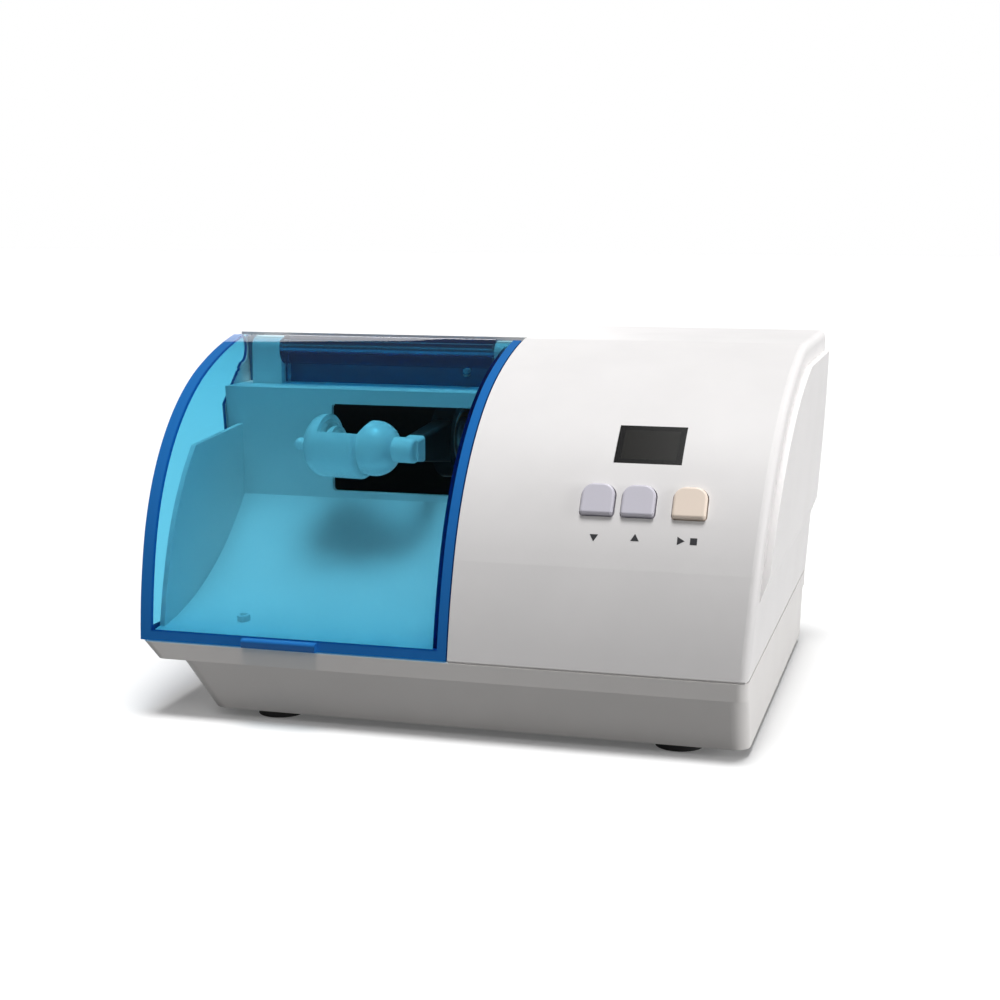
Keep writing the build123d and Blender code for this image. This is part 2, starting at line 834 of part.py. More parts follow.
def make_motor_bracket():
    y, z = hub[1], hub[2]
    top = z + 16
    front = block(motor_left - bracket_sheet, motor_left, bracket_front, y + 17, bracket_low, top)
    front = fillet(front.edges().filter_by(Axis.X).sort_by(Axis.Z)[-2:], 8)
    foot_top = bracket_low + bracket_sheet
    foot = block(hub[0] - 9, bracket_right, bracket_front, bracket_rear, bracket_low, foot_top)
    foot -= block(0, motor_left - bracket_sheet, 0, y + 6, 0, 60)
    bracket = front + foot
    for side in (bracket_front, y + 17 - bracket_sheet):
        web = Plane.XZ * make_face(Polyline(
            (motor_left, bracket_low + 1), (motor_left + 26, bracket_low + 1),
            (motor_left + 26, bracket_low + 6), (motor_left, z - motor_radius - 8), close=True,
        ))
        bracket += Pos(0, side, 0) * extrude(web, bracket_sheet, dir=(0, 1, 0))
    bracket -= rod_x(motor_boss, 60, 130, y, z)
    for px, py in mount_points():
        bracket -= rod_z(screw_radius + 0.1, px, py, bracket_low - 1, bracket_low + 10)
    for x in spring_xs():
        eye = rod_z(1.2, x, spring_y(), bracket_low + 1, spring_low)
        bracket += eye
    return bracket


def spring_xs():
    """X of the two springs below the arm's tail."""
    return [hub[0] + 3.0 + side for side in (-5.5, 5.5)]


def spring_y():
    """Y of the two springs below the arm's tail."""
    return hub[1] + (ring_radius + tail_reach - 3) * cos(radians(sleeve_tilt))


def coil(radius, wire, z0, z1, turns):
    """A round-wire spring about Z, as one unbroken tube."""
    path = Helix(pitch=(z1 - z0) / turns, height=z1 - z0, radius=radius, center=(0, 0, z0))
    start = path @ 0
    section = Plane(origin=start, z_dir=path % 0) * Circle(wire)
    print("coil gap", round((z1 - z0) / turns - 2 * wire, 2))
    return sweep(section, path=path)


def make_arm_springs():
    spring = coil(2.6, 0.45, spring_low + 0.8, hub[2] - tail_half - 0.8, 9)
    return [Pos(x, spring_y(), 0) * spring for x in spring_xs()]


def make_vibration_mounts():
    mounts = []
    for x, y in mount_points():
        low = bracket_low - mount_height
        bush = rod_z(mount_radius, x, y, low, bracket_low)
        groove = rod_z(mount_radius + 1, x, y, low + 3, bracket_low - 3)
        bush -= groove - rod_z(mount_radius - 1.2, x, y, low, bracket_low)
        mounts.append(bush - rod_z(screw_radius, x, y, low - 1, bracket_low + 1))
    return mounts


def make_mount_screws():
    screws = []
    for x, y in mount_points():
        top = bracket_low + bracket_sheet
        head = rod_z(screw_head_radius, x, y, top, top + 2.2)
        shank = rod_z(screw_radius, x, y, bracket_low - mount_height - 8, top)
        screws.append(head + shank)
    return screws


def quarter(centre, radius):
    """An arc from straight up to straight left of its centre."""
    x, r = centre
    bend = radius * sin(radians(45))
    return ThreePointArc((x, r + radius), (x - bend, r + bend), (x - radius, r))


def revolved(lines):
    """A solid turned about the clamp's axis from a closed outline above it."""
    return revolve(filled(lines), Axis.X)


def trough_end(inset):
    """How far left the trough reaches."""
    return -trough_left - bowl_radius + inset


def trough_solid(inset, right):
    """The trough's outline turned about its axis, with its rounded left end."""
    outer = trough_radius - inset
    centre = (-trough_left, trough_radius - bowl_radius)
    arc = quarter(centre, bowl_radius - inset)
    left = trough_end(inset)
    rest = Polyline((left, centre[1]), (left, 0), (right, 0), (right, outer), (-trough_left, outer))
    return revolved([arc, rest])


def mouth_cut():
    """Wedge that slants the mouth of the fixed cup, so that a capsule goes in from above."""
    slant = Polyline(
        (-cup_cut_top, cup_radius), (-cup_mouth, cup_cut_low), (-cup_mouth - 1, cup_cut_low),
        (-cup_mouth - 1, 2 * cup_radius), (-cup_cut_top, 2 * cup_radius), close=True,
    )
    return Pos(0, -2 * cup_radius, 0) * extrude(filled([slant], Plane.XZ), 4 * cup_radius, dir=(0, 1, 0))


def make_clamp_frame():
    # Fixed cup, egg-shaped outside, on the neck that meets the arm
    start = (-cup_right, neck_radius)
    mouth = (-cup_mouth, cup_mouth_radius)
    shoulder = (-cup_widest + 2.6, cup_radius - 1.1)
    crest = (-cup_widest - 2, cup_radius)
    cup = revolved([
        Spline(start, shoulder, crest, mouth),
        Polyline(mouth, (-cup_mouth, 0), (-cup_right, 0), start),
    ]) - mouth_cut()

    # Trough, open above from the arch to the fixed cup
    tube = trough_solid(0, -trough_right)
    rim = tube.edges().filter_by(GeomType.CIRCLE).sort_by(Axis.X)[-1]
    tube = fillet(rim, 2.5) - trough_solid(trough_wall, -trough_right - trough_wall)
    reach = 2 * trough_radius
    front_rise = tan(radians(trough_rise)) * reach
    rear_rise = tan(radians(trough_rise_rear)) * reach
    over = polygon_x(
        [(0, 0), (-reach, front_rise), (-reach, reach), (reach, reach), (reach, rear_rise)], -arch_right, 0
    )
    frame = cup + (tube - over)

    # Hollow of the fixed cup
    bottom = (-cup_mouth + cup_depth, 0)
    lip = (-cup_mouth, cup_mouth_radius - cup_wall)
    frame -= revolved([
        ThreePointArc(bottom, (-cup_mouth + 0.75 * cup_depth, 0.65 * lip[1]), lip),
        Polyline(lip, (-cup_mouth - 1, lip[1]), (-cup_mouth - 1, 0), bottom),
    ])

    # Window in the rounded end that leaves the arch, and the plunger's boss
    half = trough_radius / 2
    arch_left = -arch_right - arch_band
    frame -= block(trough_end(0) - 1, arch_left, -half, half, rod_boss_radius, trough_radius - 3)
    frame += rod_x(rod_boss_radius, trough_end(0) - rod_boss_proud, trough_end(trough_wall), 0, 0)
    frame -= rod_x(plunger_radius + running_clearance, -60, trough_end(trough_wall) + 1, 0, 0)
    return clamp_frame_place() * frame


def make_clamp_jaw():
    """The sliding cup with its rod."""
    centre = (-jaw_mouth, jaw_radius - jaw_bowl)
    back = -jaw_mouth - jaw_bowl
    cup = revolved([
        quarter(centre, jaw_bowl),
        Polyline((back, centre[1]), (back, 0), (-jaw_mouth, 0), (-jaw_mouth, jaw_radius)),
    ])
    rod = rod_x(plunger_radius, -knob_centre, back, 0, 0)
    inner = jaw_bowl - jaw_wall
    hollow = revolved([
        quarter(centre, inner),
        Polyline(
            (-jaw_mouth - inner, centre[1]), (-jaw_mouth - inner, 0), (-jaw_mouth + 1, 0),
            (-jaw_mouth + 1, jaw_radius - jaw_wall), (-jaw_mouth, jaw_radius - jaw_wall),
        ),
    ])
    return clamp_frame_place() * (cup + rod - hollow)


def make_clamp_knob():
    knob = Pos(-knob_centre, 0, 0) * Sphere(knob_radius)
    knob += rod_x(knob_radius * 0.75, -knob_centre, -knob_centre + knob_neck, 0, 0)
    knob -= rod_x(plunger_radius, -knob_centre, 0, 0, 0)
    return clamp_frame_place() * knob


def make_clamp_spring():
    low = trough_end(trough_wall) + spring_wire + 0.05
    high = -jaw_mouth - jaw_bowl - spring_wire - 0.05
    spring = coil(spring_radius, spring_wire, low, high, 3)
    return clamp_frame_place() * Rot(0, 90, 0) * spring


def make_display_window():
    lens = Pos(0, 0, -lens_sheet / 2) * Box(display_width, display_height, lens_sheet)
    lens = fillet(lens.edges().filter_by(Axis.Z), 0.8)
    return surface_plane(display_x, display_z) * Pos(0, 0, -lens_sink) * lens


def make_button(x):
    """A key with its retaining flange and stem."""
    low = -wall - button_flange_gap
    cap = Pos(0, 0, low) * extrude(button_outline(0), button_proud - low)
    cap = fillet(cap.faces().sort_by(Axis.Z)[-1].edges(), 1.0)
    side = button_width + 2.4
    flange = Pos(0, 0, low - button_flange / 2 + 0.1) * Box(side, side, button_flange)
    stem_low = -board_depth + 4.6 + button_travel + 0.1
    stem = Pos(0, 0, (low + stem_low) / 2) * Cylinder(2.0, low - stem_low)
    return surface_plane(x, button_z) * (cap + flange + stem)


def make_button_spring(x):
    top = -wall - button_flange_gap - button_flange + 0.1
    spring = coil(5.4, 0.35, -board_depth + 0.35, top - 0.35, 3)
    return surface_plane(x, button_z) * spring


def make_tact_switches():
    switches = []
    for x in button_xs:
        body = Pos(0, 0, -board_depth + 1.75) * Box(6, 6, 3.5)
        body += Pos(0, 0, -board_depth + 4.05) * Cylinder(1.7, 1.1)
        switches.append(surface_plane(x, button_z) * body)
    return switches


def make_control_board():
    centre = ((board_left + board_right) / 2, (board_low + board_high) / 2)
    sheet = Pos(centre[0], centre[1], -board_depth - board_sheet / 2) * Box(
        board_right - board_left, board_high - board_low, board_sheet
    )
    for x, y in board_posts:
        sheet -= Pos(x, y, -board_depth) * Cylinder(1.4, 8)
    chip = Pos(centre[0] - 14, centre[1], -board_depth - board_sheet - 1.2) * Box(18, 8, 2.4)
    header = Pos(centre[0] + 12, centre[1] - 6, -board_depth - board_sheet - 3) * Box(16, 6, 6)
    return surface_plane(0, button_z) * (sheet + chip + header)


def make_board_screws():
    screws = []
    plane = surface_plane(0, button_z)
    for x, y in board_posts:
        base = -board_depth - board_sheet
        head = Pos(x, y, base - 0.9) * Cylinder(2.4, 1.8)
        shank = Pos(x, y, base + 4) * Cylinder(1.2, 8)
        screws.append(plane * (head + shank))
    return screws


def make_display_module():
    low = -board_depth
    body = Box(module_width, module_height, module_depth)
    body = Pos(display_x, module_up, low + module_depth / 2) * body
    glass = Box(module_width - 4, module_height - 5, 0.5)
    glass = Pos(display_x, module_up + 0.5, low + module_depth + 0.15) * glass
    return surface_plane(0, button_z) * (body + glass)


def make_power_inlet():
    flange = extrude(RectangleRounded(inlet_flange_width, inlet_flange_height, 2.5), 2.2)
    inlet = flange + Pos(0, 0, -inlet_depth / 2) * Box(inlet_width, inlet_height, inlet_depth + 0.02)
    half, top, corner = inlet_mouth_width / 2, inlet_mouth_height / 2, inlet_mouth_corner
    mouth = Polyline(
        (-half, -top), (half, -top), (half, top - corner), (half - corner, top),
        (corner - half, top), (-half, top - corner), close=True,
    )
    inlet -= Pos(0, 0, 5 - inlet_depth) * extrude(make_face(mouth), inlet_depth + 2)
    return rear_plane(inlet_x) * inlet


def make_inlet_blades():
    blades = []
    for x, y in ((-7, -1.5), (7, -1.5), (0, 2.5)):
        blades.append(rear_plane(inlet_x) * Pos(x, y, 0.5 - inlet_depth / 2) * Box(2, 4, inlet_depth / 2))
    return blades


def make_switch_bezel():
    rim = RectangleRounded(bezel_width + 2 * bezel_lip, bezel_height + 2 * bezel_lip, 1.2)
    bezel = extrude(rim, panel_flange)
    bezel += Pos(0, 0, -7) * Box(bezel_width, bezel_height, 14.02)
    bezel -= Box(2 * rocker_half + 2.4, 10.8, 22)
    for y in (-1, 1):
        bezel += Pos(0, y * 5.6, rocker_pivot) * Rot(90, 0, 0) * Cylinder(1.2, 1.2)
    for x in (-4, 4):
        bezel += Pos(x, 0, -13.2) * Box(4.8, 11, 1.6)
        bezel += Pos(x, 0, -17) * Box(0.8, 4.8, 7)
    return rear_plane(rocker_x) * bezel


def make_switch_rocker():
    half = rocker_half
    sides = filled([
        Polyline((-half + 0.6, -2.2), (-half, 2.6), (0, 1.4), (half, 2.6), (half - 0.6, -2.2)),
        ThreePointArc((half - 0.6, -2.2), (0, -8.0), (-half + 0.6, -2.2)),
    ])
    rocker = Pos(0, 5.1, 0) * extrude(Plane.XZ * sides, 10.2, dir=(0, -1, 0))
    for y in (-1, 1):
        rocker -= Pos(0, y * 5.1, rocker_pivot) * Rot(90, 0, 0) * Cylinder(1.2 + running_clearance, 1.4)
    tilt = Pos(0, 0, rocker_pivot) * Rot(0, rocker_throw, 0) * Pos(0, 0, -rocker_pivot)
    return rear_plane(rocker_x) * tilt * rocker


def make_fuse_holder():
    holder = Cylinder(fuse_flange_radius, panel_flange, align=(Align.CENTER, Align.CENTER, Align.MIN))
    holder += Cylinder(fuse_radius, fuse_depth, align=(Align.CENTER, Align.CENTER, Align.MAX))
    bore = Cylinder(fuse_bore, 2 * fuse_depth, align=(Align.CENTER, Align.CENTER, Align.MIN))
    holder -= Pos(0, 0, 6 - fuse_depth) * bore
    return rear_plane(fuse_x) * holder


def make_fuse_cap():
    cap = Cylinder(fuse_bore + 1.2, 2.2, align=(Align.CENTER, Align.CENTER, Align.MIN))
    cap = Pos(0, 0, panel_flange) * fillet(cap.faces().sort_by(Axis.Z)[-1].edges(), 0.6)
    stem = Cylinder(fuse_bore, fuse_depth - 8.1, align=(Align.CENTER, Align.CENTER, Align.MIN))
    cap += Pos(0, 0, 10 - fuse_depth) * stem
    cap -= Pos(0, 0, 4.0) * Box(8, 1.2, 2)
    return rear_plane(fuse_x) * cap


def make_power_board():
    low = foot_height + wall + post_height
    top = low + board_sheet
    board = block(
        post_left - board_margin, post_right + board_margin,
        post_front - board_margin, post_rear + board_margin, low, top,
    )
    for step in (1, 2.5):
        x = post_left + 2 * step * capacitor_radius
        board += rod_z(capacitor_radius, x, post_rear - capacitor_radius / 2, top, top + capacitor_height)
    return board


def transformer_place():
    """Centre of the transformer's foot on the power board."""
    middle = (post_front + post_rear) / 2
    return (post_right - core_width / 2 + 1, middle - 4, foot_height + wall + post_height + board_sheet)


def core_windows(x):
    """The limits along X of the two windows of the transformer's core."""
    middles = [x + side * core_width / 4 for side in (-1, 1)]
    return [(middle - core_window / 2, middle + core_window / 2) for middle in middles]


def make_transformer_core():
    x, y, z = transformer_place()
    half = core_depth / 2
    core = block(x - core_width / 2, x + core_width / 2, y - half, y + half, z, z + core_height)
    for x0, x1 in core_windows(x):
        core -= block(x0, x1, y - half - 1, y + half + 1, z + core_yoke, z + core_height - core_yoke)
    return core


def make_transformer_coil():
    x, y, z = transformer_place()
    left, right = core_windows(x)
    half = core_depth / 2
    low, high = z + core_yoke, z + core_height - core_yoke
    winding = block(left[0], right[1], y - half - coil_overhang, y + half + coil_overhang, low, high)
    winding = fillet(winding.edges().filter_by(Axis.Z), coil_overhang * 2 / 3)
    return winding - block(left[1], right[0], y - half, y + half, low - 1, high + 1)


def build_all():
    inner, outer, balls, cage = make_bearing()
    nodes = {
        "base_tray": make_base_tray(),
        "rubber_feet": make_rubber_feet(),
        "housing_screws": make_housing_screws(),
        "upper_housing": make_upper_housing(),
        "mixing_chamber": make_mixing_chamber(),
        "hinge_rod": make_hinge_rod(),
        "lid": make_lid(),
        "lid_switch": make_lid_switch(),
        "lid_switch_plunger": make_lid_switch_plunger(),
        "mixing_arm": make_mixing_arm(),
        "bearing_inner_race": inner,
        "bearing_outer_race": outer,
        "bearing_balls": balls,
        "bearing_cage": cage,
        "inclined_sleeve": make_inclined_sleeve(),
        "motor_shaft": make_motor_shaft(),
        "shaft_nut": make_shaft_nut(),
        "motor": make_motor(),
        "motor_bracket": make_motor_bracket(),
        "arm_springs": make_arm_springs(),
        "vibration_mounts": make_vibration_mounts(),
        "mount_screws": make_mount_screws(),
        "clamp_frame": make_clamp_frame(),
        "clamp_jaw": make_clamp_jaw(),
        "clamp_knob": make_clamp_knob(),
        "clamp_spring": make_clamp_spring(),
        "display_window": make_display_window(),
        "display_module": make_display_module(),
        "control_board": make_control_board(),
        "board_screws": make_board_screws(),
        "tact_switches": make_tact_switches(),
        "power_inlet": make_power_inlet(),
        "inlet_blades": make_inlet_blades(),
        "switch_bezel": make_switch_bezel(),
        "switch_rocker": make_switch_rocker(),
        "fuse_holder": make_fuse_holder(),
        "fuse_cap": make_fuse_cap(),
        "power_board": make_power_board(),
        "transformer_core": make_transformer_core(),
        "transformer_coil": make_transformer_coil(),
    }
    for name, x in zip(button_names, button_xs):
        nodes["button_" + name] = make_button(x)
        nodes["button_spring_" + name] = make_button_spring(x)
    return nodes


def main():
    os.makedirs("parts", exist_ok=True)
    nodes = {}
    for name, shape in build_all().items():
        pieces = shape if isinstance(shape, list) else [shape]
        nodes[name] = [solid for piece in pieces for solid in piece.solids()]
    boxes = [solid.bounding_box() for solids in nodes.values() for solid in solids]
    middle_x = (min(box.min.X for box in boxes) + max(box.max.X for box in boxes)) / 2
    middle_y = (min(box.min.Y for box in boxes) + max(box.max.Y for box in boxes)) / 2
    print("origin", round(middle_x, 3), round(middle_y, 3))
    shift = Pos(-middle_x, -middle_y, 0)
    for name, solids in nodes.items():
        export_step(Compound(children=[shift * solid for solid in solids]), f"parts/{name}.step")


main()
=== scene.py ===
import json
import math

import bmesh
import bpy
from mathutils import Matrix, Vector
from mathutils.bvhtree import BVHTree

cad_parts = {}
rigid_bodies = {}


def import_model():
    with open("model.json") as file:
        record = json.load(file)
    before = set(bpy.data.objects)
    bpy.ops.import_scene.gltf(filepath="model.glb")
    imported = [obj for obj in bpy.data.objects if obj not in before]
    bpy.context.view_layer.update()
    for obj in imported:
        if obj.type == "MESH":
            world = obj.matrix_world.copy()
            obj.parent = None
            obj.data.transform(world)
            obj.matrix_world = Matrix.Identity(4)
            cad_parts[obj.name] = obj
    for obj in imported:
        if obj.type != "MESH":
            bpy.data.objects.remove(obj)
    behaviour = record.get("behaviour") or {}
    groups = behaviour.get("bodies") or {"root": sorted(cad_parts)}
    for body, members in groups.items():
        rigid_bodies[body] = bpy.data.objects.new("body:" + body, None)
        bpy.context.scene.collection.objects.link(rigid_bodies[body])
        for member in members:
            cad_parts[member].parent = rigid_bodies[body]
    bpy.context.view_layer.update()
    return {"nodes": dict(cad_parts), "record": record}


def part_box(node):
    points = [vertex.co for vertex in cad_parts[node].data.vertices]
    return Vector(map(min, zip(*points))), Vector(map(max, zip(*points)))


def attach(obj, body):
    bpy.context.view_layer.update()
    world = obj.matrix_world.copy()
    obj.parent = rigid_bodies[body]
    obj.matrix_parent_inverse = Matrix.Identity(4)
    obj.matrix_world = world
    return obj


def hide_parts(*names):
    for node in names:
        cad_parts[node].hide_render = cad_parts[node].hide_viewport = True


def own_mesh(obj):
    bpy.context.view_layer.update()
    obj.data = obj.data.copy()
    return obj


# Looks of a bench-top capsule mixer: a white moulded body, a clear blue lid over
# the mixing chamber and a curved fascia with a display and three keys. Metres.

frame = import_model()
nodes = frame["nodes"]
joints = {joint["name"]: joint for joint in frame["record"]["behaviour"]["joints"]}
MM = 0.001

# The camera of the photograph, measured from the front left corner of the lip
CAMERA_PLACE = (0.308075, -0.587799, 0.197019)
CAMERA_AZIMUTH = math.radians(15.539)
CAMERA_ELEVATION = math.radians(9.764)
SENSOR = 36.0
LENS = SENSOR * 1.72225

# Lamps: the way to each, the light on a white face square to it (1 renders white), its width in degrees
LAMPS = {
    "overhead": ((0.03, -0.05, 1.0), 0.87, 24.0),
    "front": ((0.2, -0.62, 0.76), 0.09, 25.0),
    "side": ((1.0, 0.0, 0.05), 0.88, 40.0),
    "back": ((-0.5, 0.8, 0.15), 0.24, 40.0),
}

# The room's own light, and how bright the room and its backdrop look in gloss
WHITE = (1.0, 1.0, 1.0, 1.0)
ROOM = 0.06
ROOM_COLOR = (0.97, 0.98, 1.0, 1.0)
ROOM_SHEEN = 0.12
BACKDROP_SHEEN = 0.8
BACKDROP_WAY = (0, 1, -1)
BACKDROP_EDGE = (0.45, 0.9)

# The floor: half its width, what it gives back to the object, and the share of its look that glows
FLOOR_REACH = 6.0
FLOOR_BOUNCE = 0.25
FLOOR_GLOW = 0.1

# What light that has bounced inside the lid meets outside it: the share of the floor's look, and
# how steeply the room turns white towards the front
THROUGH_LID = 0.8
FRONT_GLOW = 3.0
FRONT_WAY = (0, -1, -0.6)

# Clear blue of the lid: the red, green and blue that one wall passes, the density that this is
# written at, and what a lamp's light keeps through one wall
LID_WALL = 2.4 * MM
LID_PASSES = (0.44, 0.80, 0.91)
LID_DENSITY = 450.0
LID_SHADE = (0.15, 0.26, 0.29)
LID_IOR = 1.2

# Edges of the lid, which look darker and less clear, and the opacity of its end wall
RIM = 3.5 * MM
LEFT_RIM = 4.5 * MM
RIM_COLOR = (0.02, 0.18, 0.54, 1.0)
RIM_OPACITY = 0.9
END_OPACITY = 0.5

# Fine unevenness of the surfaces: noise scales and detail, spreads of colour and roughness, bump depths
PLASTIC_MOTTLE = 35.0
METAL_MOTTLE = 60.0
METAL_SPREAD = 0.06
MOTTLE_DETAIL = 3.0
MOTTLE_RAMP = (0.35, 0.65)
GRAIN_DETAIL = 4.0
GRAIN_STRENGTH = 0.35
PLASTIC_ROUGH_SPREAD = 0.05
METAL_ROUGH_BELOW = 0.08
METAL_ROUGH_ABOVE = 0.12
COAT_ROUGHNESS = 0.12
FINE = 0.04 * MM
COARSE = 0.1 * MM

# Painted areas: the reach of the painted shade from the housing's top and left end, the depth of the
# trough's rear wall that is painted shade, the white boss at the clamp past which the arm is painted
# shade, and the display's border at its sides and at its top and foot
SHADE_REACH = 30 * MM
TROUGH_WALL = 4 * MM
BOSS_REACH = 6.0 * MM
BORDER_SIDE = 2.3 * MM
BORDER_TOP = 2.0 * MM

# How far a face has to lean towards a direction to be painted
LEANS = 0.3
MOSTLY = 0.5
NEARLY = 0.9

# Marks under the keys, and how far the start and stop marks stand apart, in halves of a mark
MARK_DROP = 11.0 * MM
MARK_SIZE = 3.6 * MM
MARK_PROUD = 0.08 * MM
MARK_DEPTH = 0.2 * MM
MARK_APART = 1.4

# Cap over the screw that fixes the liner's floor, from the front left corner of the lip
CAP_PLACE = (34.0 * MM, 22.0 * MM)
CAP_RADIUS = 2.6 * MM
CAP_PROUD = 2.4 * MM
CAP_DEPTH = 2.7 * MM
CAP_SIDES = 32

# How far off the rays start that find a surface
RAY_FAR = 1.0
RAY_NEAR = 0.02

# Springs, and the joint on whose parent body each is put
SPRINGS = {
    "clamp_spring": "clamp_pull",
    "button_spring_less": "less_press",
    "button_spring_more": "more_press",
    "button_spring_start": "start_press",
}


def centre_of(name):
    low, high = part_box(name)
    return (Vector(low) + Vector(high)) / 2


def make_camera():
    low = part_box("base_tray")[0]
    data = bpy.data.cameras.new("photo_camera")
    data.sensor_width = SENSOR
    data.lens = LENS
    data.clip_end = 20.0
    camera = bpy.data.objects.new("photo_camera", data)
    bpy.context.scene.collection.objects.link(camera)
    camera.location = Vector((low[0], low[1], 0.0)) + Vector(CAMERA_PLACE)
    camera.rotation_euler = (math.pi / 2 - CAMERA_ELEVATION, 0.0, CAMERA_AZIMUTH)
    bpy.context.scene.camera = camera


# Node helpers
def new_material(name):
    """A material, its Principled shader and its node tree."""
    material = bpy.data.materials.new(name)
    material.use_nodes = True
    return material, material.node_tree.nodes["Principled BSDF"], material.node_tree


def maths(tree, operation, first, second=None):
    """The output of a Math node whose inputs are outputs or plain numbers."""
    node = tree.nodes.new("ShaderNodeMath")
    node.operation = operation
    for socket, value in zip(node.inputs, (first, second)):
        if value is None:
            continue
        if isinstance(value, (int, float)):
            socket.default_value = value
        else:
            tree.links.new(value, socket)
    return node.outputs[0]


def along(tree, point, direction, origin=(0.0, 0.0, 0.0)):
    """How far a point lies along a direction from an origin."""
    node = tree.nodes.new("ShaderNodeVectorMath")
    node.operation = "DOT_PRODUCT"
    node.inputs[1].default_value = direction
    tree.links.new(point, node.inputs[0])
    start = float(Vector(direction).dot(Vector(origin)))
    return maths(tree, "SUBTRACT", node.outputs["Value"], start)


def all_of(tree, *tests):
    result = tests[0]
    for test in tests[1:]:
        result = maths(tree, "MULTIPLY", result, test)
    return result


def any_of(tree, *tests):
    result = tests[0]
    for test in tests[1:]:
        result = maths(tree, "MAXIMUM", result, test)
    return result


def paint(tree, shader, mask, color):
    """Lays a second colour over the base colour where the mask is 1."""
    link = shader.inputs["Base Color"].links[0]
    mix = tree.nodes.new("ShaderNodeMix")
    mix.data_type = "RGBA"
    mix.inputs["B"].default_value = (*color, 1.0)
    tree.links.new(mask, mix.inputs["Factor"])
    tree.links.new(link.from_socket, mix.inputs["A"])
    tree.links.new(mix.outputs["Result"], shader.inputs["Base Color"])


# Materials
def mottled(tree, shader, color, spread, scale):
    """Base colour that wanders a little about a mean, as moulded plastic does."""
    coords = tree.nodes.new("ShaderNodeTexCoord")
    noise = tree.nodes.new("ShaderNodeTexNoise")
    noise.inputs["Scale"].default_value = scale
    noise.inputs["Detail"].default_value = MOTTLE_DETAIL
    ramp = tree.nodes.new("ShaderNodeValToRGB")
    for element, side, position in zip(ramp.color_ramp.elements, (-1, 1), MOTTLE_RAMP):
        element.position = position
        element.color = (*[max(0.0, min(1.0, c * (1 + side * spread))) for c in color], 1.0)
    tree.links.new(coords.outputs["Object"], noise.inputs["Vector"])
    tree.links.new(noise.outputs["Fac"], ramp.inputs["Fac"])
    tree.links.new(ramp.outputs["Color"], shader.inputs["Base Color"])
    return coords


def grained(tree, shader, coords, scale, depth, rough_low, rough_high):
    """Fine surface grain in the normal and in the roughness."""
    grain = tree.nodes.new("ShaderNodeTexNoise")
    grain.inputs["Scale"].default_value = scale
    grain.inputs["Detail"].default_value = GRAIN_DETAIL
    bump = tree.nodes.new("ShaderNodeBump")
    bump.inputs["Strength"].default_value = GRAIN_STRENGTH
    bump.inputs["Distance"].default_value = depth
    rough = tree.nodes.new("ShaderNodeMapRange")
    rough.inputs["To Min"].default_value = rough_low
    rough.inputs["To Max"].default_value = rough_high
    tree.links.new(coords.outputs["Object"], grain.inputs["Vector"])
    tree.links.new(grain.outputs["Fac"], bump.inputs["Height"])
    tree.links.new(bump.outputs["Normal"], shader.inputs["Normal"])
    tree.links.new(grain.outputs["Fac"], rough.inputs["Value"])
    tree.links.new(rough.outputs["Result"], shader.inputs["Roughness"])


def plastic(name, color, rough=0.35, spread=0.015, grain=1400.0, depth=FINE, coat=0.0, gloss=0.5):
    """Moulded plastic with a faint mottle and a fine grain."""
    material, shader, tree = new_material(name)
    coords = mottled(tree, shader, color, spread, PLASTIC_MOTTLE)
    rough_low = rough - PLASTIC_ROUGH_SPREAD
    rough_high = rough + PLASTIC_ROUGH_SPREAD
    grained(tree, shader, coords, grain, depth, rough_low, rough_high)
    shader.inputs["Specular IOR Level"].default_value = gloss
    shader.inputs["Coat Weight"].default_value = coat
    shader.inputs["Coat Roughness"].default_value = COAT_ROUGHNESS
    return material


def metal(name, color, rough=0.3, grain=900.0, stretch=(1.0, 1.0, 1.0)):
    """Metal whose roughness follows its grinding or drawing marks."""
    material, shader, tree = new_material(name)
    coords = mottled(tree, shader, color, METAL_SPREAD, METAL_MOTTLE)
    shader.inputs["Metallic"].default_value = 1.0
    mapping = tree.nodes.new("ShaderNodeMapping")
    mapping.inputs["Scale"].default_value = stretch
    marks = tree.nodes.new("ShaderNodeTexNoise")
    marks.inputs["Scale"].default_value = grain
    spread = tree.nodes.new("ShaderNodeMapRange")
    spread.inputs["To Min"].default_value = rough - METAL_ROUGH_BELOW
    spread.inputs["To Max"].default_value = rough + METAL_ROUGH_ABOVE
    tree.links.new(coords.outputs["Object"], mapping.inputs["Vector"])
    tree.links.new(mapping.outputs["Vector"], marks.inputs["Vector"])
    tree.links.new(marks.outputs["Fac"], spread.inputs["Value"])
    tree.links.new(spread.outputs["Result"], shader.inputs["Roughness"])
    return material


def housing_plastic():
    """White outside; the faces inside the drive space are painted near-black, as painted shade of the
    closed housing.
    """
    material = plastic("white_body", (0.88, 0.862, 0.858), 0.42, gloss=0.15)
    tree = material.node_tree
    shader = tree.nodes["Principled BSDF"]
    coords = tree.nodes.new("ShaderNodeTexCoord")
    place, facing = coords.outputs["Object"], coords.outputs["Normal"]
    x, y, z = (1, 0, 0), (0, 1, 0), (0, 0, 1)
    low, high = (Vector(corner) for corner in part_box("upper_housing"))
    chamber_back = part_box("mixing_chamber")[1][1]
    rear = all_of(
        tree,
        maths(tree, "GREATER_THAN", along(tree, place, y), chamber_back),
        maths(tree, "LESS_THAN", along(tree, facing, y), -LEANS),
    )
    under_top = all_of(
        tree,
        maths(tree, "GREATER_THAN", along(tree, place, z), high.z - SHADE_REACH),
        maths(tree, "LESS_THAN", along(tree, facing, z), -LEANS),
    )
    left_end = all_of(
        tree,
        maths(tree, "LESS_THAN", along(tree, place, x), low.x + SHADE_REACH),
        maths(tree, "GREATER_THAN", along(tree, place, y), chamber_back),
        maths(tree, "GREATER_THAN", along(tree, facing, x), LEANS),
    )
    # Painted shade: the inner faces at the rear, under the top and at the left end are near-black
    paint(tree, shader, any_of(tree, rear, under_top, left_end), (0.015, 0.016, 0.018))
    return material


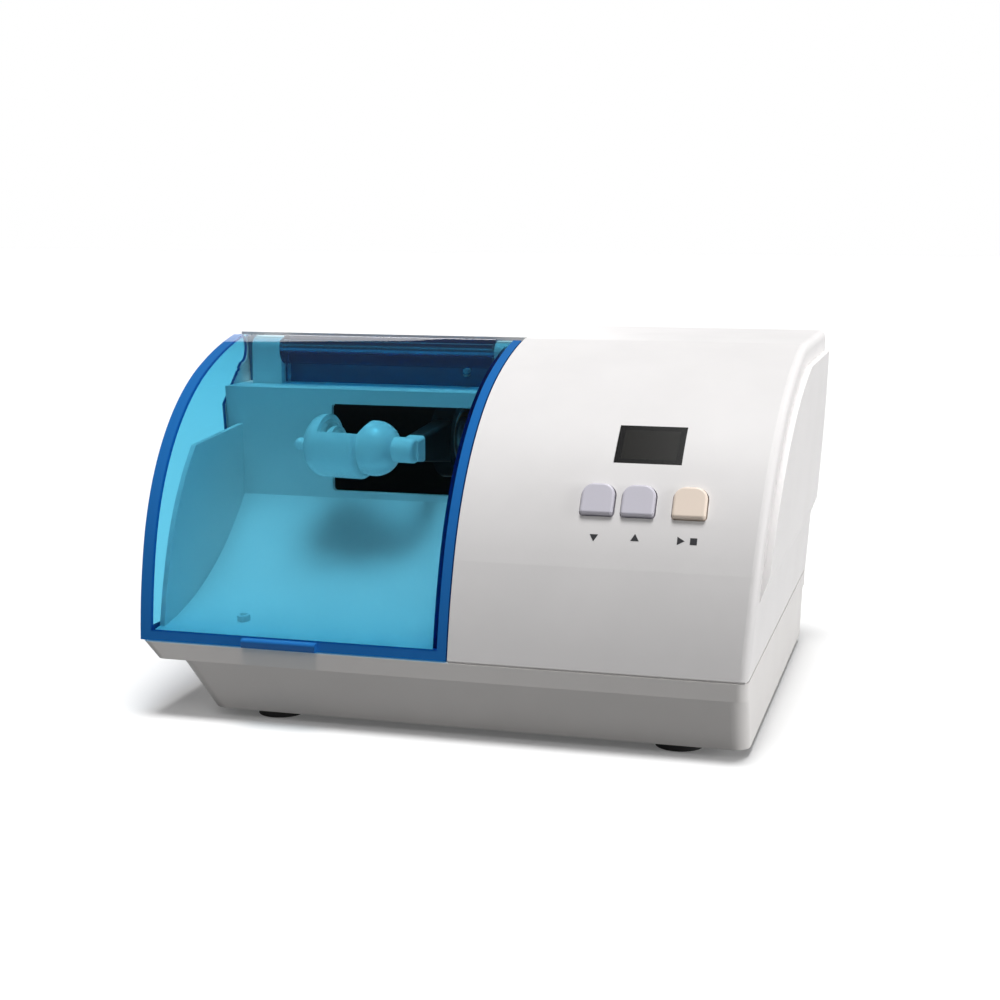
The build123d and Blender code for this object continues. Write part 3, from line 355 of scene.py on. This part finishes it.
def liner_plastic():
    """White liner; the hinge trough's rear wall behind the lid's flange is painted dark blue, as
    painted shade.
    """
    material = plastic("white_chamber", (0.86, 0.865, 0.865), 0.45, gloss=0.3)
    tree = material.node_tree
    coords = tree.nodes.new("ShaderNodeTexCoord")
    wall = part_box("mixing_chamber")[1][1] - TROUGH_WALL
    trough_shade = all_of(
        tree,
        maths(tree, "GREATER_THAN", along(tree, coords.outputs["Object"], (0, 1, 0)), wall),
        maths(tree, "LESS_THAN", along(tree, coords.outputs["Normal"], (0, 1, 0)), -MOSTLY),
    )
    # Painted shade: the trough's rear wall behind the flange is dark blue
    paint(tree, tree.nodes["Principled BSDF"], trough_shade, (0.10, 0.18, 0.30))
    return material


def arm_finish():
    """Arm with a white moulded boss at the clamp; past the boss it is painted black, as painted shade
    of the drive space.
    """
    material = plastic("arm_white_and_painted_shade", (0.93, 0.95, 0.95), 0.3)
    tree = material.node_tree
    shader = tree.nodes["Principled BSDF"]
    coords = tree.nodes.new("ShaderNodeTexCoord")
    clamp = centre_of("clamp_frame")
    axis = Vector(joints["arm_swash"]["axis"]).normalized()
    back = Vector((0, 0, 1)).cross(axis)
    boss = back.dot(clamp) + BOSS_REACH
    mask = maths(tree, "GREATER_THAN", along(tree, coords.outputs["Object"], back), boss)
    # Painted shade: the arm is black past the boss, inside the dark drive space
    paint(tree, shader, mask, (0.012, 0.012, 0.014))
    return material


def display_lens():
    """Black lens with a printed border round the slightly lighter panel behind it."""
    material = plastic("display_black", (0.011, 0.0107, 0.009), 0.2, gloss=0.04)
    tree = material.node_tree
    shader = tree.nodes["Principled BSDF"]
    coords = tree.nodes.new("ShaderNodeTexCoord")
    mesh = nodes["display_window"].data
    normal = max(mesh.polygons, key=lambda p: p.area * (1 if p.normal.y < 0 else 0)).normal
    up = normal.cross(Vector((1, 0, 0)))
    middle = centre_of("display_window")
    low, high = (Vector(corner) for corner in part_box("display_window"))
    half_width = (high.x - low.x) / 2 - BORDER_SIDE
    half_height = max(abs((v.co - middle).dot(up)) for v in mesh.vertices) - BORDER_TOP
    across = maths(tree, "ABSOLUTE", along(tree, coords.outputs["Object"], (1, 0, 0), middle))
    upward = maths(tree, "ABSOLUTE", along(tree, coords.outputs["Object"], tuple(up), middle))
    border = any_of(
        tree,
        maths(tree, "GREATER_THAN", across, half_width),
        maths(tree, "GREATER_THAN", upward, half_height),
    )
    paint(tree, shader, border, (0.0015, 0.0015, 0.0015))
    return material


def lid_rim(tree):
    """1 on the lid's edges, which gather its colour: the two ends, the foot and the thumb tab."""
    coords = tree.nodes.new("ShaderNodeTexCoord")
    place, facing = coords.outputs["Object"], coords.outputs["Normal"]
    low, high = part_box("lid")
    leftward = [face for face in nodes["lid"].data.polygons if face.normal.x < -NEARLY]
    end_wall = max(leftward, key=lambda face: face.area)
    from_end = along(tree, place, tuple(end_wall.normal), end_wall.center)
    sideways = maths(tree, "ABSOLUTE", along(tree, facing, (1, 0, 0)))
    left = all_of(
        tree,
        maths(tree, "GREATER_THAN", from_end, -LEFT_RIM),
        maths(tree, "LESS_THAN", sideways, MOSTLY),
    )
    right = maths(tree, "GREATER_THAN", along(tree, place, (1, 0, 0)), high[0] - RIM)
    foot = maths(tree, "LESS_THAN", along(tree, place, (0, 0, 1)), low[2] + RIM)
    return any_of(tree, left, right, foot)


def clear_lid():
    """Clear blue plastic: lamps shine through it, and its colour deepens with its thickness."""
    material, shader, tree = new_material("blue_lid")
    rim = lid_rim(tree)
    coords = tree.nodes.new("ShaderNodeTexCoord")
    outside = maths(tree, "LESS_THAN", along(tree, coords.outputs["Normal"], (1, 0, 0)), -MOSTLY)
    haze = maths(tree, "MULTIPLY", outside, END_OPACITY)
    opaque = maths(tree, "MAXIMUM", maths(tree, "MULTIPLY", rim, RIM_OPACITY), haze)
    tint = tree.nodes.new("ShaderNodeMix")
    tint.data_type = "RGBA"
    tint.inputs["A"].default_value = WHITE
    tint.inputs["B"].default_value = RIM_COLOR
    tree.links.new(any_of(tree, rim, haze), tint.inputs["Factor"])
    tree.links.new(tint.outputs["Result"], shader.inputs["Base Color"])
    tree.links.new(maths(tree, "SUBTRACT", 1.0, opaque), shader.inputs["Transmission Weight"])
    shader.inputs["Roughness"].default_value = 0.0
    shader.inputs["IOR"].default_value = LID_IOR
    output = tree.nodes["Material Output"]
    path = tree.nodes.new("ShaderNodeLightPath")
    clear = tree.nodes.new("ShaderNodeBsdfTransparent")
    clear.inputs["Color"].default_value = (*[math.sqrt(c) for c in LID_SHADE], 1.0)
    mix = tree.nodes.new("ShaderNodeMixShader")
    tree.links.new(path.outputs["Is Shadow Ray"], mix.inputs["Fac"])
    tree.links.new(shader.outputs["BSDF"], mix.inputs[1])
    tree.links.new(clear.outputs["BSDF"], mix.inputs[2])
    tree.links.new(mix.outputs["Shader"], output.inputs["Surface"])
    depth = tree.nodes.new("ShaderNodeVolumeAbsorption")
    absorbed = [-math.log(c) / (LID_WALL * LID_DENSITY) for c in LID_PASSES]
    depth.inputs["Color"].default_value = (*[1 - a for a in absorbed], 1.0)
    depth.inputs["Density"].default_value = LID_DENSITY
    tree.links.new(depth.outputs["Volume"], output.inputs["Volume"])
    return material


def dress(material, *names):
    """Gives CAD nodes a material."""
    for name in names:
        mesh = nodes[name].data
        mesh.materials.clear()
        mesh.materials.append(material)


def dress_all():
    """Dresses every CAD node, and returns the chamber's material for the cap on its floor."""
    white_chamber = liner_plastic()
    dress(housing_plastic(), "upper_housing")
    dress(plastic("white_base", (0.84, 0.818, 0.80), 0.42, gloss=0.15), "base_tray")
    dress(white_chamber, "mixing_chamber")
    white_clamp = plastic("white_clamp", (0.95, 0.97, 0.97), 0.28, coat=0.5)
    dress(white_clamp, "clamp_frame", "clamp_jaw", "clamp_knob")
    dress(arm_finish(), "mixing_arm")
    dress(clear_lid(), "lid")
    dress(display_lens(), "display_window")
    dress(plastic("lavender", (0.68, 0.66, 0.74), 0.34), "button_less", "button_more")
    dress(plastic("cream", (0.95, 0.81, 0.69), 0.34), "button_start")
    dress(plastic("cream_pin", (0.84, 0.80, 0.70), 0.35), "lid_switch_plunger")
    rubber = plastic("rubber_black", (0.02, 0.02, 0.02), 0.7, depth=COARSE)
    dress(rubber, "rubber_feet", "vibration_mounts")
    moulding = plastic("black_moulding", (0.025, 0.025, 0.027), 0.45, depth=COARSE)
    dress(moulding, "lid_switch", "power_inlet", "switch_bezel", "switch_rocker")
    dress(moulding, "fuse_holder", "fuse_cap", "tact_switches", "display_module")
    # Motor and bracket are black as painted shade of the drive space seen through the slot
    dress(plastic("black_painted_shade", (0.012, 0.012, 0.013), 0.5), "motor", "motor_bracket")
    dress(plastic("green_board", (0.02, 0.16, 0.07), 0.3), "control_board", "power_board")
    ground = metal("ground_steel", (0.60, 0.60, 0.61), 0.28, stretch=(1.0, 12.0, 12.0))
    dress(ground, "hinge_rod", "motor_shaft", "inclined_sleeve")
    dress(ground, "bearing_inner_race", "bearing_outer_race", "bearing_balls")
    plated = metal("plated_steel", (0.66, 0.66, 0.67), 0.38)
    dress(plated, "housing_screws", "mount_screws", "board_screws", "shaft_nut", "transformer_core")
    dress(metal("spring_steel", (0.50, 0.50, 0.52), 0.3), "arm_springs", *SPRINGS)
    dress(metal("brass", (0.74, 0.55, 0.25), 0.3), "bearing_cage", "inlet_blades")
    winding = metal("copper_winding", (0.70, 0.34, 0.16), 0.35, stretch=(1.0, 1.0, 20.0))
    dress(winding, "transformer_coil")
    return white_chamber


def make_springs():
    """Copies of the springs, each put on the parent body of its joint in place of the CAD node."""
    for node, name in SPRINGS.items():
        axis = Vector(joints[name]["axis"]).normalized()
        mesh = nodes[node].data.copy()
        reach = [vertex.co.dot(axis) for vertex in mesh.vertices]
        fixed_end = centre_of(node)
        fixed_end += axis * (max(reach) - fixed_end.dot(axis))
        spring = bpy.data.objects.new(f"{node}_coil", mesh)
        bpy.context.scene.collection.objects.link(spring)
        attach(spring, joints[name]["parent"])
        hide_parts(node)
        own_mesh(spring)


# Marks on the fascia: a triangle down, a triangle up, and a start triangle with a stop square
def surface_of(name):
    """A ray-casting tree of a CAD node."""
    mesh = nodes[name].data
    return BVHTree.FromPolygons([v.co for v in mesh.vertices], [p.vertices for p in mesh.polygons])


def first_hit(tree, start, direction):
    """Where a ray meets a node, and which way the surface faces there."""
    return tree.ray_cast(Vector(start), Vector(direction))[:2]


def mark_on(tree, name, spot, normal, outline, proud, depth, material):
    """A thin flat shape that follows the face under it and rides with the housing."""
    across = Vector((1, 0, 0))
    upward = normal.cross(across).normalized()
    shape = bmesh.new()
    rings = []
    for lift in (proud, proud - depth):
        ring = []
        for right, up in outline:
            place = spot + across * right + upward * up
            hit, facing = first_hit(tree, place + normal * RAY_NEAR, -normal)
            ring.append(shape.verts.new(hit + facing * lift))
        rings.append(ring)
    shape.faces.new(rings[0])
    shape.faces.new(rings[1][::-1])
    for i, corner in enumerate(rings[0]):
        shape.faces.new((rings[0][i - 1], corner, rings[1][i], rings[1][i - 1]))
    bmesh.ops.recalc_face_normals(shape, faces=shape.faces)
    mesh = bpy.data.meshes.new(name)
    shape.to_mesh(mesh)
    shape.free()
    mesh.materials.append(material)
    mark = bpy.data.objects.new(name, mesh)
    bpy.context.scene.collection.objects.link(mark)
    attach(mark, "root")


def polygon(sides, radius, start=90.0, shift=0.0):
    """Corners of a regular shape, with the first at a start angle."""
    angles = [math.radians(start + 360.0 * i / sides) for i in range(sides)]
    return [(shift + radius * math.cos(a), radius * math.sin(a)) for a in angles]


def make_marks():
    ink = plastic("mark_ink", (0.03, 0.03, 0.035), 0.5)
    fascia = surface_of("upper_housing")
    half = MARK_SIZE / 2
    marks = {
        "mark_less": ("button_less", polygon(3, half, 270.0)),
        "mark_more": ("button_more", polygon(3, half, 90.0)),
        "mark_start": ("button_start", polygon(3, half, 0.0, -MARK_APART * half)),
        "mark_stop": ("button_start", polygon(4, half, 45.0, MARK_APART * half)),
    }
    for name, (key, outline) in marks.items():
        middle = centre_of(key)
        spot, normal = first_hit(fascia, (middle.x, -RAY_FAR, middle.z - MARK_DROP), (0, 1, 0))
        mark_on(fascia, name, spot, normal, outline, MARK_PROUD, MARK_DEPTH, ink)


def make_screw_cap(material):
    """The round cap that covers the front left fixing screw in the floor of the chamber."""
    corner = Vector(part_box("base_tray")[0])
    beside = 2 * CAP_RADIUS
    place = (corner.x + CAP_PLACE[0] + beside, corner.y + CAP_PLACE[1], RAY_FAR)
    floor = surface_of("mixing_chamber")
    spot, normal = first_hit(floor, place, (0, 0, -1))
    spot.x -= beside
    outline = polygon(CAP_SIDES, CAP_RADIUS)
    mark_on(floor, "screw_cap", spot, normal, outline, CAP_PROUD, CAP_DEPTH, material)


# The room
def background_rays(tree, through=THROUGH_LID):
    """1 on rays that show the background: to the camera, in gloss and through glass.

    Light that has bounced inside the lid gets the share of it that comes through."""
    path = tree.nodes.new("ShaderNodeLightPath")
    first = maths(tree, "LESS_THAN", path.outputs["Diffuse Depth"], 0.5)
    gloss = all_of(tree, path.outputs["Is Glossy Ray"], first)
    later = maths(tree, "MAXIMUM", first, through)
    glass = all_of(tree, path.outputs["Is Transmission Ray"], later)
    return any_of(tree, path.outputs["Is Camera Ray"], gloss, glass)


def make_floor():
    """A pale floor that the camera sees white, with the object's shadow on it."""
    corners = [(x * FLOOR_REACH, y * FLOOR_REACH, 0) for x, y in ((-1, -1), (1, -1), (1, 1), (-1, 1))]
    mesh = bpy.data.meshes.new("floor")
    mesh.from_pydata(corners, [], [(0, 1, 2, 3)])
    floor = bpy.data.objects.new("floor", mesh)
    bpy.context.scene.collection.objects.link(floor)
    material, shader, tree = new_material("floor_white")
    tree.nodes.remove(shader)
    bounce = tree.nodes.new("ShaderNodeBsdfDiffuse")
    bounce.inputs["Color"].default_value = (FLOOR_BOUNCE, FLOOR_BOUNCE, FLOOR_BOUNCE, 1.0)
    white = tree.nodes.new("ShaderNodeBsdfDiffuse")
    white.inputs["Color"].default_value = WHITE
    glow = tree.nodes.new("ShaderNodeEmission")
    shown = tree.nodes.new("ShaderNodeMixShader")
    shown.inputs["Fac"].default_value = FLOOR_GLOW
    tree.links.new(white.outputs["BSDF"], shown.inputs[1])
    tree.links.new(glow.outputs["Emission"], shown.inputs[2])
    either = tree.nodes.new("ShaderNodeMixShader")
    tree.links.new(background_rays(tree), either.inputs["Fac"])
    tree.links.new(bounce.outputs["BSDF"], either.inputs[1])
    tree.links.new(shown.outputs["Shader"], either.inputs[2])
    tree.links.new(either.outputs["Shader"], tree.nodes["Material Output"].inputs["Surface"])
    mesh.materials.append(material)


def make_world():
    """White backdrop; in gloss it ends at the top and sides, and the room before it is dim."""
    world = bpy.data.worlds.new("studio")
    world.use_nodes = True
    tree = world.node_tree
    tree.nodes.clear()
    light = tree.nodes.new("ShaderNodeBackground")
    light.inputs["Color"].default_value = ROOM_COLOR
    light.inputs["Strength"].default_value = ROOM
    shown = tree.nodes.new("ShaderNodeBackground")
    shown.inputs["Color"].default_value = WHITE
    coords = tree.nodes.new("ShaderNodeTexCoord")
    backdrop = tree.nodes.new("ShaderNodeMapRange")
    backdrop.interpolation_type = "SMOOTHSTEP"
    backdrop.inputs["From Min"].default_value = BACKDROP_EDGE[0]
    backdrop.inputs["From Max"].default_value = BACKDROP_EDGE[1]
    backdrop.inputs["To Min"].default_value = ROOM_SHEEN
    backdrop.inputs["To Max"].default_value = BACKDROP_SHEEN
    tree.links.new(along(tree, coords.outputs["Generated"], BACKDROP_WAY), backdrop.inputs["Value"])
    path = tree.nodes.new("ShaderNodeLightPath")
    plain = maths(tree, "SUBTRACT", 1.0, path.outputs["Is Glossy Ray"])
    tree.links.new(any_of(tree, plain, backdrop.outputs["Result"]), shown.inputs["Strength"])
    mix = tree.nodes.new("ShaderNodeMixShader")
    output = tree.nodes.new("ShaderNodeOutputWorld")
    in_front = maths(tree, "MAXIMUM", along(tree, coords.outputs["Generated"], FRONT_WAY), 0.0)
    through = maths(tree, "MULTIPLY", in_front, FRONT_GLOW)
    tree.links.new(background_rays(tree, through), mix.inputs["Fac"])
    tree.links.new(light.outputs["Background"], mix.inputs[1])
    tree.links.new(shown.outputs["Background"], mix.inputs[2])
    tree.links.new(mix.outputs["Shader"], output.inputs["Surface"])
    bpy.context.scene.world = world


def sun(name, towards, share, angle):
    """A soft lamp far away; share is what a white face square to it gives back."""
    data = bpy.data.lights.new(name, "SUN")
    data.energy = share * math.pi
    data.angle = math.radians(angle)
    lamp = bpy.data.objects.new(name, data)
    lamp.visible_transmission = False
    bpy.context.scene.collection.objects.link(lamp)
    lamp.rotation_euler = (-Vector(towards)).to_track_quat("-Z", "Y").to_euler()


def make_lights():
    for name, (towards, share, angle) in LAMPS.items():
        sun(name, towards, share, angle)


make_camera()
make_screw_cap(dress_all())
make_marks()
make_springs()
make_floor()
make_world()
make_lights()
bpy.context.scene.view_settings.view_transform = "Standard"
